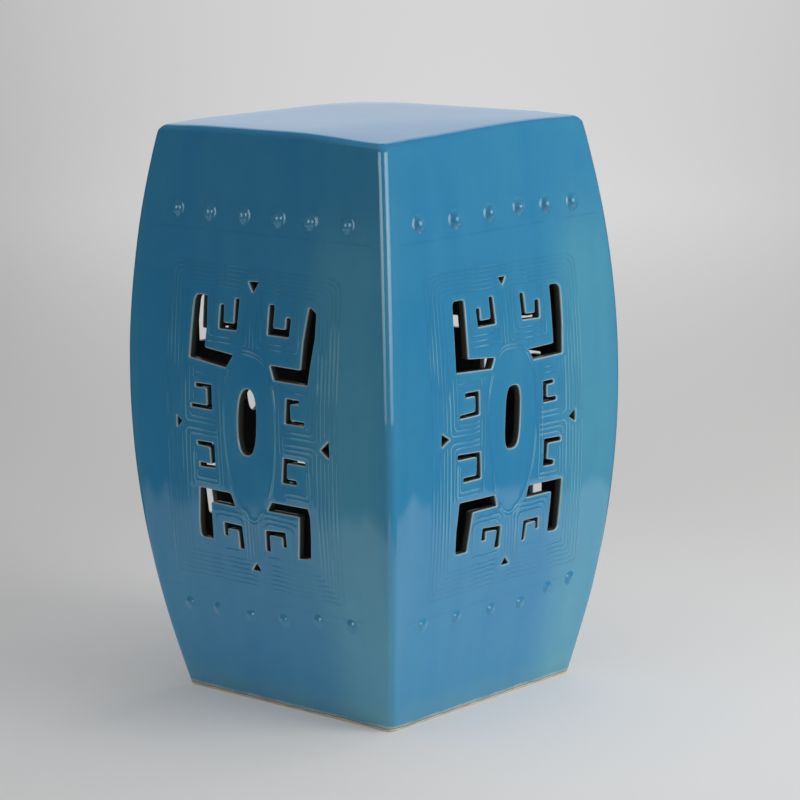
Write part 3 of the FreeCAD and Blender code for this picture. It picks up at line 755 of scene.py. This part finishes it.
def flat_panel(name, holes, lines):
    """One wall before it is bowed, x across, y into the clay and z up, with the lines of its ridges."""
    from_holes = distance_to(holes, closed=True)
    runs = clear_runs(lines, from_holes)
    from_ridges = distance_to(runs)

    outer_rim = perimeter(across_face)
    rim_size = len(outer_rim)
    loops = [outer_rim]
    depth_at = {number: FOOT_ROUND.get(point.y, 0.0) for number, point in enumerate(outer_rim)}
    count = rim_size
    arris_starts = []
    for hole in holes:
        for distance, depth in ARRIS_RINGS:
            loops.append(lifted(hole, distance) if distance else hole)
            depth_at.update((count + number, depth) for number in range(len(hole)))
            count += len(hole)
        arris_starts.append(count - len(hole))
    ribbons = ribbons_along(runs)
    count += sum(len(ribbon) for ribbon in ribbons)

    spots = []
    for level, depth in [*FOOT_ROUND.items()][1:]:
        for place in across_face(level)[1:-1]:
            depth_at[count + len(spots)] = depth
            spots.append(Vector((place, level)))
    for level in LEVELS[len(FOOT_ROUND):-1]:
        for place in across_face(level)[1:-1]:
            off_hole = from_holes(place, level) > ARRIS + 1.0
            if off_hole and from_ridges(place, level) > RIDGE_HALF_WIDTH + 0.9:
                spots.append(Vector((place, level)))
    flat, faces, sources, found = filled(loops, ribbons, spots, holes)
    depths = [max((depth_at.get(source, 0.0) for source in listed), default=0.0) for listed in sources]

    inner_spots = []
    for row in range(1, INNER_ROWS):
        level = WALL_TOP * row / INNER_ROWS
        for step in range(1 - INNER_STEPS, INNER_STEPS):
            place = half_width(level, WALL) * step / INNER_STEPS
            if from_holes(place, level) > 3:
                inner_spots.append(Vector((place, level)))
    inner_loops = [perimeter(across_inner_face)] + holes
    inner_flat, inner_faces, _, inner_found = filled(inner_loops, [], inner_spots, holes)

    outer_count = len(flat)
    vertices = [(x, depth, z) for (x, z), depth in zip(flat, depths)] + [(x, WALL, z) for x, z in inner_flat]
    polygons = [tuple(face) for face in faces] + [tuple(outer_count + face[::-1]) for face in inner_faces]
    thin = [max(0.0, 1 - from_holes(x, z) / 2.3) for x, z in flat] + [0.0] * len(inner_flat)
    # Marks the inner side and, below, the cut faces, which the glaze paints dark as shade.
    hollow = [0.0] * outer_count + [1.0] * len(inner_flat)

    def row_of(start, size, numbers, shift=0):
        return [shift + numbers[start + number] for number in range(size)]

    seam_start = len(polygons)
    polygons += band(row_of(0, rim_size, inner_found, outer_count), row_of(0, rim_size, found))
    inner_start = rim_size
    for hole, start in zip(holes, arris_starts):
        size = len(hole)
        above = row_of(start, size, found)
        for depth in CUT_DEPTHS:
            below = list(range(len(vertices), len(vertices) + size))
            vertices += [(point.x, depth, point.y) for point in hole]
            thin += [max(0.0, 1 - (depth - 0.6) / 2.4)] * size
            hollow += [min(0.5, (depth - ARRIS) / 3.2)] * size
            polygons += band(above, below)
            above = below
        polygons += band(above, row_of(inner_start, size, inner_found, outer_count))
        inner_start += size

    mesh = bpy.data.meshes.new(name)
    mesh.from_pydata([(x / 1000, y / 1000, z / 1000) for x, y, z in vertices], [], polygons)
    store(mesh, "thin", thin)
    store(mesh, "hollow", hollow)
    seams = [seam_start <= number < seam_start + rim_size for number in range(len(polygons))]
    store(mesh, "seam", seams, "BOOLEAN", "FACE")
    mesh.validate()

    guide = bpy.data.meshes.new(name + "_ridges")
    spine, links = [], []
    for run in runs:
        links.extend((len(spine) + step, len(spine) + step + 1) for step in range(len(run) - 1))
        spine.extend((point.x / 1000, 0, point.y / 1000) for point in run)
    guide.from_pydata(spine, links, [])
    return placed(name, mesh), placed(name + "_ridges", guide)


def vector_of(tree, *parts):
    return field(tree, "ShaderNodeCombineXYZ", 0, dict(enumerate(parts)))


def stored(tree, shape, name, value):
    """The shape with a value that each of its points carries."""
    inputs = {0: shape, "Name": name, "Value": value}
    return field(tree, "GeometryNodeStoreNamedAttribute", 0, inputs, data_type="FLOAT", domain="POINT")


def bowing_tree():
    """Raises the ridges on a flat wall, bows it, rounds its upright corners and turns it to its side."""
    tree, given, way_out = new_group(
        "bowed_wall",
        "GeometryNodeTree",
        {
            "Panel": "Geometry",
            "Ridge Lines": "Object",
            "Ridge Height": 0.00056,
            "Ridge Half Width": RIDGE_HALF_WIDTH / 1000,
            "Belly Half Width": BELLY_HALF / 1000,
            "Belly Level": BELLY_LEVEL / 1000,
            "Bow Radius": BOW_RADIUS / 1000,
            "Corner Radius": CORNER / 1000,
            "Wall Thickness": WALL / 1000,
            "Face Recess": 0.0011,
            "Unevenness": 0.0004,
            "Turn": 0.0,
            "Glaze": "Material",
        },
        {"Wall": "Geometry"},
    )
    across, depth, up = axes_of(tree, field(tree, "GeometryNodeInputPosition"))
    beside = across.math("ABSOLUTE")
    on_face = 1 - depth.eased(0.0001, 0.0010)

    lines = field(tree, "GeometryNodeObjectInfo", "Geometry", {"Object": given("Ridge Lines")})
    distance = field(tree, "GeometryNodeProximity", "Distance", {0: lines}, target_element="EDGES")
    crest = (1 - distance / given("Ridge Half Width")).eased(0.0, 1.0) * on_face
    worn = cloud(tree, vector_of(tree, across * 1.6, 0.0, up * 0.4), 32.0)
    band_middle = sum(BAND_LEVELS) / 2000
    on_band = (up - band_middle).math("ABSOLUTE").eased(0.136, 0.142)
    faint = on_band * 0.35 + (1 - up.eased(0.10, 0.15)) * 0.3 + up.eased(0.285, 0.345) * 0.30
    ridge = crest * ((0.25 + worn.eased(0.34, 0.60) * 0.75) * (1 - faint))

    lift = up - given("Belly Level")
    radius = given("Bow Radius")
    centre = given("Belly Half Width") - radius
    outer = centre + (radius * radius - lift * lift).math("SQRT")
    inner_radius = radius - given("Wall Thickness")
    inner = centre + (inner_radius * inner_radius - lift * lift).math("SQRT")
    share = depth / given("Wall Thickness")
    inboard = (1 - beside.eased(0.104, 0.124)) * up.eased(0.0, 0.05) * (1 - up.eased(0.405, 0.444))
    sunk = inboard * (1 - share) * given("Face Recess") - ridge * given("Ridge Height")
    face = outer * (1 - share) + inner * share - sunk

    corner = given("Corner Radius")
    straight = outer - corner
    past = (beside - straight).math("MAXIMUM", 0.0)
    near_face = share.math("LESS_THAN", 0.5)
    angle = past / corner * near_face
    arm = corner - depth - sunk
    sign = across.math("SIGN")
    rounding = past.math("GREATER_THAN", 0.0) * near_face
    side = rounding * (sign * (straight + arm * angle.math("SINE"))) + (1 - rounding) * across
    front = rounding * (straight + arm * angle.math("COSINE")) + (1 - rounding) * face

    def turned(*parts):
        inputs = {"Vector": vector_of(tree, *parts), "Angle": given("Turn")}
        return field(tree, "ShaderNodeVectorRotate", 0, inputs, rotation_type="Z_AXIS")

    in_place = turned(side, front * -1, up)
    heading = turned(sign * angle.math("SINE"), angle.math("COSINE") * -1, 0.0)
    free = up.eased(0.0, 0.03) * (1 - up.eased(0.415, 0.446)) * on_face
    push = cloud(tree, in_place, 11.0, 1.0).eased(0.25, 0.75) * given("Unevenness") * free * -1
    pushed = {0: heading, 1: push, 2: in_place}
    moved = field(tree, "ShaderNodeVectorMath", 0, pushed, operation="MULTIPLY_ADD")

    # Painted reflection: a lighter, greener strip near the upright corners, fading toward the top.
    mitre = straight + corner * (math.pi / 4)
    strip_core, strip_end = (edge / 1000 for edge in GREEN_STRIP_FADE)
    strip = 1 - (across - GREEN_STRIP / 1000).math("ABSOLUTE").eased(strip_core, strip_end)
    by_corner = GREEN_CORNER - (across + mitre).eased(0.0, GREEN_CORNER_FADE / 1000) * GREEN_CORNER
    top_start, top_end = (edge / 1000 for edge in GREEN_TOP_FADE)
    painted_reflection_strip = (strip + by_corner) * (1 - up.eased(top_start, top_end) * 0.85)

    marked = stored(tree, given("Panel"), "ridge", ridge)
    marked = stored(tree, marked, "sheltered", painted_reflection_strip)
    bowed = field(tree, "GeometryNodeSetPosition", 0, {0: marked, "Position": moved})
    smooth = field(tree, "GeometryNodeSetShadeSmooth", 0, {0: bowed})
    single = field(tree, "GeometryNodeRealizeInstances", 0, {0: smooth})
    painted = field(tree, "GeometryNodeSetMaterial", 0, {0: single, "Material": given("Glaze")})
    plug(tree, painted, way_out.inputs[0])
    return tree


def grown(source, tree, name, inputs):
    """Runs a node tree on an object with the inputs given by name, and keeps the result as a plain mesh."""
    modifier = source.modifiers.new(name, "NODES")
    modifier.node_group = tree
    sockets = {item.name: item.identifier for item in tree.interface.items_tree if item.in_out == "INPUT"}
    for label, value in inputs.items():
        modifier[sockets[label]] = value
    bpy.context.view_layer.update()
    result = source.evaluated_get(bpy.context.evaluated_depsgraph_get())
    mesh = bpy.data.meshes.new_from_object(result)
    mesh.name = name
    source.modifiers.remove(modifier)
    return placed(name, mesh)


def bow_normal(level, heading):
    """Direction that the bowed face looks in at a level in metres, for a compass heading."""
    lean = (level - BELLY_LEVEL / 1000) / (BOW_RADIUS / 1000)
    return (heading * math.sqrt(1 - lean * lean) + Vector((0, 0, lean))).normalized()


def values_of(items, name, kind=float, width=1):
    values = np.zeros(len(items) * width, kind)
    items.foreach_get(name, values)
    return values


def smooth_over_seams(mesh):
    """Gives the glaze one unbroken sheen across the seams, though each wall is a piece of its own."""
    seam = values_of(mesh.attributes["seam"].data, "value", bool)
    hollow = values_of(mesh.attributes["hollow"].data, "value")
    normals = values_of(mesh.polygons, "normal", width=3).reshape(-1, 3)
    areas = values_of(mesh.polygons, "area")
    loop_vertex = values_of(mesh.loops, "vertex_index", int)
    loop_face = np.repeat(np.arange(len(areas)), values_of(mesh.polygons, "loop_total", int))
    on_seam = seam[loop_face]
    weighted = (normals * areas[:, None])[loop_face]
    weighted[on_seam] = 0
    sums = np.zeros((len(mesh.vertices), 3))
    np.add.at(sums, loop_vertex, weighted)
    for number in np.unique(loop_vertex[on_seam]):
        place = mesh.vertices[number].co
        if hollow[number] > 0.5 or place.z < 0.001:
            continue
        outward = Vector((sums[number][0], sums[number][1], 0))
        if abs(abs(place.x) - abs(place.y)) < 1e-4:
            outward = Vector((math.copysign(1, place.x), math.copysign(1, place.y), 0))
        sums[number] = bow_normal(place.z, outward.normalized())
    loops = sums[loop_vertex]
    loops[on_seam] = normals[loop_face[on_seam]]
    loops /= np.maximum(np.linalg.norm(loops, axis=1), 1e-12)[:, None]
    mesh.normals_split_custom_set(loops.tolist())


bowed_wall = bowing_tree()

front_outlines = [rounded(hole) for hole in front_holes] + [oval((-8.7, 234.0), 10.0, 26.4, 0.06, 0.78)]
right_outlines = [rounded(hole) for hole in right_holes] + [oval((4.4, 233.6), 9.0, 24.8, 0.05, 0.58)]
front_panel = flat_panel("front_panel", front_outlines, ridge_lines(-13.1, 0.0363, front_medallion))
right_panel = flat_panel("right_panel", right_outlines, ridge_lines(6.6, -0.030, right_medallion))

SIDES = [
    ("front", 0, front_panel),
    ("right", 90, right_panel),
    ("back", 180, front_panel),
    ("left", 270, right_panel),
]
for facing, turn, (panel, guide_lines) in SIDES:
    wall = grown(panel, bowed_wall, "glazed_wall_" + facing, {
        "Ridge Lines": guide_lines,
        "Turn": math.radians(turn),
        "Glaze": glaze,
    })
    smooth_over_seams(wall.data)
    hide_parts("wall_" + facing)
    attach(wall, "root")

for used in (*front_panel, *right_panel):
    bpy.data.objects.remove(used)

# Foot and seams: the turned-in foot slab, and the coils that are pressed into the inner seams to hold the
# slabs together, stay bare: buff stoneware, sandy to the touch, with a few iron specks and finger marks.

BUFF = (0.40, 0.315, 0.215, 1)
PALE_BUFF = (0.52, 0.42, 0.30, 1)
IRON = (0.12, 0.07, 0.04, 1)


def bare_clay():
    material, tree = node_material("bare_stoneware")
    place = field(tree, "ShaderNodeTexCoord", "Object")
    grit = cloud(tree, place, 900.0, 2.0, 0.7)
    colour = mixed(tree, cloud(tree, place, 30.0, 4.0), BUFF, PALE_BUFF)
    speck = cloud(tree, place, 420.0, 1.0).eased(0.70, 0.78)
    colour = mixed(tree, speck * 0.7, colour, IRON)
    marks = cloud(tree, place, 70.0) * 0.7 + grit * 0.2
    shader = new_node(tree, "ShaderNodeBsdfPrincipled", {
        "Base Color": colour,
        "Roughness": 0.72 + grit * 0.2,
        "Normal": field(tree, "ShaderNodeBump", 0, {"Strength": 0.5, "Distance": 0.0008, "Height": marks}),
    })
    new_node(tree, "ShaderNodeOutputMaterial", {0: shader.outputs[0]})
    return material


stoneware = bare_clay()
for name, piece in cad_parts.items():
    if name == "base_frame" or "coil" in name:
        piece.data.materials.clear()
        piece.data.materials.append(stoneware)

# Seat: a thick square slab luted onto the walls, its rim wiped round with a wet sponge before the glaze.
# It sagged a little in drying, so its corners hang and its near right rim lies lower.

RIM = 6.5
TOP = STOOL_HEIGHT * 1000
TOP_HALF = half_width(TOP)
RIM_STEPS = 8
TOP_SHARES = (0.97, 0.93, 0.88, 0.82, 0.75, 0.66, 0.56, 0.45, 0.34, 0.23, 0.12)
RIM_SAG = 2.9
CORNER_SAG = 1.4
EDGE_SAG = 0.5


def soft_square(half, radius, level, steps=18, turn_steps=8):
    """Points of a square with rounded corners, with steps along each side."""
    centre = half - radius
    arcs = []
    for quarter, (right, back) in enumerate(((1, 1), (-1, 1), (-1, -1), (1, -1))):
        arc = []
        for step in range(turn_steps + 1):
            angle = (quarter + step / turn_steps) * math.pi / 2
            across = centre * right + radius * math.cos(angle)
            along = centre * back + radius * math.sin(angle)
            arc.append(Vector((across, along, level)))
        arcs.append(arc)
    points = []
    for arc, following in zip(arcs, arcs[1:] + arcs[:1]):
        points.extend(arc)
        points.extend(arc[-1].lerp(following[0], step / steps) for step in range(1, steps))
    return points


def eased(value, start, end):
    share = min(max((value - start) / (end - start), 0), 1)
    return share * share * (3 - 2 * share)


def slumped(point):
    """A seat point let down where the slab sagged: at its corners, and most along the near right rim."""
    share = eased(point.z, WALL_TOP + 3, TOP - 1)
    right_rim = eased(point.x, TOP_HALF - 100, TOP_HALF) * eased(-point.y, -45, 80)
    near_rim = eased(-point.y, TOP_HALF - 100, TOP_HALF) * eased(point.x, 25, TOP_HALF)
    corners = eased(abs(point.x), TOP_HALF - 55, TOP_HALF) * eased(abs(point.y), TOP_HALF - 55, TOP_HALF)
    edges = eased(max(abs(point.x), abs(point.y)), TOP_HALF - 30, TOP_HALF)
    rims = (right_rim ** 2 + near_rim ** 2 - (right_rim * near_rim) ** 2) ** 0.5
    drop = RIM_SAG * rims + CORNER_SAG * corners + EDGE_SAG * edges
    return Vector((point.x, point.y, point.z - drop * share))


def seat_mesh():
    squares = [(half_width(level), CORNER, level) for level in (WALL_TOP, 449.2, TOP - RIM)]
    for step in range(1, RIM_STEPS + 1):
        angle = step / RIM_STEPS * math.pi / 2
        level = TOP - RIM * (1 - math.sin(angle))
        inset = RIM * (1 - math.cos(angle))
        squares.append((half_width(level) - inset, CORNER - 0.9 * inset, level))
    for share in TOP_SHARES:
        squares.append(((TOP_HALF - RIM) * share, (CORNER - 0.9 * RIM) * share, TOP))
    shape = bmesh.new()
    rows = [[shape.verts.new(slumped(point) / 1000) for point in soft_square(*square)] for square in squares]
    for low, high in zip(rows, rows[1:]):
        for quad in band(low, high):
            shape.faces.new(quad)
    shape.faces.new(rows[-1])
    underside = shape.faces.new(list(reversed(rows[0])))
    bmesh.ops.triangulate(shape, faces=[underside])
    for face in shape.faces:
        face.smooth = True
    mesh = bpy.data.meshes.new("glazed_seat")
    shape.to_mesh(mesh)
    shape.free()
    return mesh, len(rows[0])


def painted_reflection_at(place):
    """How far a point is in the painted reflection beside an upright corner, a lighter, greener strip, as on
    the walls.
    """
    outward, across = max((-place.y, place.x), (place.x, place.y), (place.y, -place.x), (-place.x, -place.y))
    straight = half_width(place.z) - CORNER
    if abs(across) > straight:
        turn = math.atan2(abs(across) - straight, max(outward - straight, 1e-6))
        across = math.copysign(straight + CORNER * min(turn, math.pi / 4), across)
    mitre = straight + CORNER * math.pi / 4
    strip = 1 - eased(abs(across - GREEN_STRIP), *GREEN_STRIP_FADE)
    by_corner = GREEN_CORNER - GREEN_CORNER * eased(across + mitre, 0, GREEN_CORNER_FADE)
    return (strip + by_corner) * eased(outward, 60, 112) * (1 - 0.85 * eased(place.z, *GREEN_TOP_FADE))


def seat_normals(mesh, seam_count):
    """Normals that run on from the walls' at the seam, and are flat on the underside."""
    straight = (half_width(WALL_TOP) - CORNER) / 1000
    normals = [None] * len(mesh.loops)
    for polygon in mesh.polygons:
        below = all(index < seam_count for index in polygon.vertices)
        for loop in polygon.loop_indices:
            vertex = mesh.vertices[mesh.loops[loop].vertex_index]
            normals[loop] = polygon.normal if below else vertex.normal
            if vertex.index < seam_count and not below:
                across = math.copysign(max(abs(vertex.co.x) - straight, 0), vertex.co.x)
                along = math.copysign(max(abs(vertex.co.y) - straight, 0), vertex.co.y)
                normals[loop] = bow_normal(vertex.co.z, Vector((across, along, 0)).normalized())
    return normals


seat_data, seam_count = seat_mesh()
# The seat's sides carry the same painted reflection as the walls.
store(seat_data, "sheltered", [painted_reflection_at(vertex.co * 1000) for vertex in seat_data.vertices])
seat_data.normals_split_custom_set(seat_normals(seat_data, seam_count))
seat_data.materials.append(glaze)
seat = placed("glazed_seat", seat_data)
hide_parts("seat_top")
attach(seat, "root")

# Studs: small balls of clay pressed onto the walls by hand in two rows, so no two sit quite level. The
# glaze runs thin over each crown and closes the joint round it.

STUD_PLACES = {
    ("upper", "front"): [(-88, 395), (-53, 394), (-16, 394), (21, 394), (54, 394), (92, 394)],
    ("upper", "right"): [(-93, 394), (-51, 393), (-10, 394), (25, 395), (58, 394), (91, 393)],
    ("lower", "front"): [(-91, 74), (-59, 74), (-23, 74), (13, 76), (51, 82), (86, 84)],
    ("lower", "right"): [(-91, 84), (-51, 82), (-9, 80), (28, 78), (61, 84), (89, 86)],
}
# Ball radius and joint radius in metres, steepest slope in degrees, and depth in the wall in millimetres.
STUD_SHAPES = {
    ("upper", "front"): (0.0055, 0.0046, 62, 1.50),
    ("upper", "right"): (0.0057, 0.0050, 62, 1.50),
    ("lower", "front"): (0.0074, 0.0064, 33, 1.60),
    ("lower", "right"): (0.0072, 0.0060, 37, 1.65),
}
BALL_SHARE = 0.7
CROWN_THINNESS = 0.45
FIRST_STUD_SEED = 11


def stud_tree():
    """Sets a ball with a flared joint on each place, each a little larger or smaller, and presses it."""
    tree, given, way_out = new_group(
        "pressed_studs",
        "GeometryNodeTree",
        {
            "Places": "Geometry",
            "Ball Radius": 0.0060,
            "Joint Radius": 0.0018,
            "Steepest Slope": math.radians(70),
            "Root Depth": 0.0015,
            "Finger Marks": 0.0004,
            "Size Variation": 0.07,
            "Seed": 5,
            "Glaze": "Material",
        },
        {"Studs": "Geometry"},
    )
    ball = given("Ball Radius")
    joint = given("Joint Radius")
    slope = given("Steepest Slope")
    sizes = {"Vertices": 36, "Side Segments": 1, "Fill Segments": 14, "Radius": 1.0, "Depth": 2.0}
    blank = field(tree, "GeometryNodeMeshCylinder", "Mesh", sizes, fill_type="TRIANGLE_FAN")
    across, along, up = axes_of(tree, field(tree, "GeometryNodeInputPosition"))
    out = (across * across + along * along).math("SQRT").math("MINIMUM", 1.0)
    on_ball = (out / BALL_SHARE).math("MINIMUM", 1.0) * slope
    on_joint = (1 - ((out - BALL_SHARE) / (1 - BALL_SHARE)).math("MAXIMUM", 0.0)) * slope
    width = ball * on_ball.math("SINE") + joint * (slope.math("SINE") - on_joint.math("SINE"))
    height = ball * (on_ball.math("COSINE") - slope.math("COSINE")) + joint * (1 - on_joint.math("COSINE"))
    on_top = up.math("GREATER_THAN", 0.0)
    stretch = width / out.math("MAXIMUM", 0.001)
    level = on_top * height - (1 - on_top) * given("Root Depth")
    place = vector_of(tree, across * stretch, along * stretch, level)
    stud = field(tree, "GeometryNodeSetPosition", 0, {0: blank, "Position": place})
    stud = stored(tree, stud, "thin", (1 - out.eased(0.1, 0.75)) * on_top * CROWN_THINNESS)
    stud = stored(tree, stud, "pooled", out.eased(0.55, 0.85) * 2.0)
    stud = field(tree, "GeometryNodeSetShadeSmooth", 0, {0: stud})

    way = field(tree, "GeometryNodeInputNamedAttribute", 0, {"Name": "facing"}, data_type="FLOAT_VECTOR")
    facing = field(tree, "FunctionNodeAlignRotationToVector", 0, {"Vector": way}, axis="Z")
    small = 1 - given("Size Variation")
    large = 1 + given("Size Variation")
    limits = {0: vector_of(tree, small, small, small), 1: vector_of(tree, large, large, large)}
    limits["Seed"] = given("Seed")
    chance = field(tree, "FunctionNodeRandomValue", 0, limits, data_type="FLOAT_VECTOR")
    set_out = {0: given("Places"), "Instance": stud, "Rotation": facing, "Scale": chance}
    studs = field(tree, "GeometryNodeInstanceOnPoints", 0, set_out)
    single = field(tree, "GeometryNodeRealizeInstances", 0, {0: studs})

    here = field(tree, "GeometryNodeInputPosition")
    marks = field(tree, "ShaderNodeTexNoise", "Color", {"Vector": here, "Scale": 130.0, "Detail": 0.0})
    centred = field(tree, "ShaderNodeVectorMath", 0, {0: marks, 1: (0.5, 0.5, 0.5)}, operation="SUBTRACT")
    thin = field(tree, "GeometryNodeInputNamedAttribute", 0, {"Name": "thin"}, data_type="FLOAT")
    press = thin / CROWN_THINNESS * given("Finger Marks")
    pressed = field(tree, "ShaderNodeVectorMath", 0, {0: centred, "Scale": press}, operation="SCALE")
    marked = field(tree, "GeometryNodeSetPosition", 0, {0: single, "Offset": pressed})
    painted = field(tree, "GeometryNodeSetMaterial", 0, {0: marked, "Material": given("Glaze")})
    plug(tree, painted, way_out.inputs[0])
    return tree


pressed_studs = stud_tree()
seed = FIRST_STUD_SEED
for facing, turn, _ in SIDES:
    heading = Vector((math.sin(math.radians(turn)), -math.cos(math.radians(turn)), 0))
    aside = Vector((math.cos(math.radians(turn)), math.sin(math.radians(turn)), 0))
    for row in ("upper", "lower"):
        kind = (row, "front" if facing in ("front", "back") else "right")
        ball_radius, joint_radius, steepest, sunk = STUD_SHAPES[kind]
        spots, ways = [], []
        for across, level in STUD_PLACES[kind]:
            spot = aside * across + heading * (half_width(level) - sunk) + Vector((0, 0, level))
            spots.append(spot / 1000)
            ways.extend(bow_normal(level / 1000, heading))
        places = bpy.data.meshes.new("stud_places")
        places.from_pydata(spots, [], [])
        places.attributes.new("facing", "FLOAT_VECTOR", "POINT").data.foreach_set("vector", ways)
        source = placed("stud_places", places)
        studs = grown(source, pressed_studs, f"glazed_{row}_studs_{facing}", {
            "Ball Radius": ball_radius,
            "Joint Radius": joint_radius,
            "Steepest Slope": math.radians(steepest),
            "Glaze": glaze,
            "Seed": seed,
        })
        seed += 1
        bpy.data.objects.remove(source)
        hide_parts(f"{row}_studs_{facing}")
        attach(studs, "root")

boxes = [[list(map(float, corner)) for corner in box] for box in (cad_box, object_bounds())]
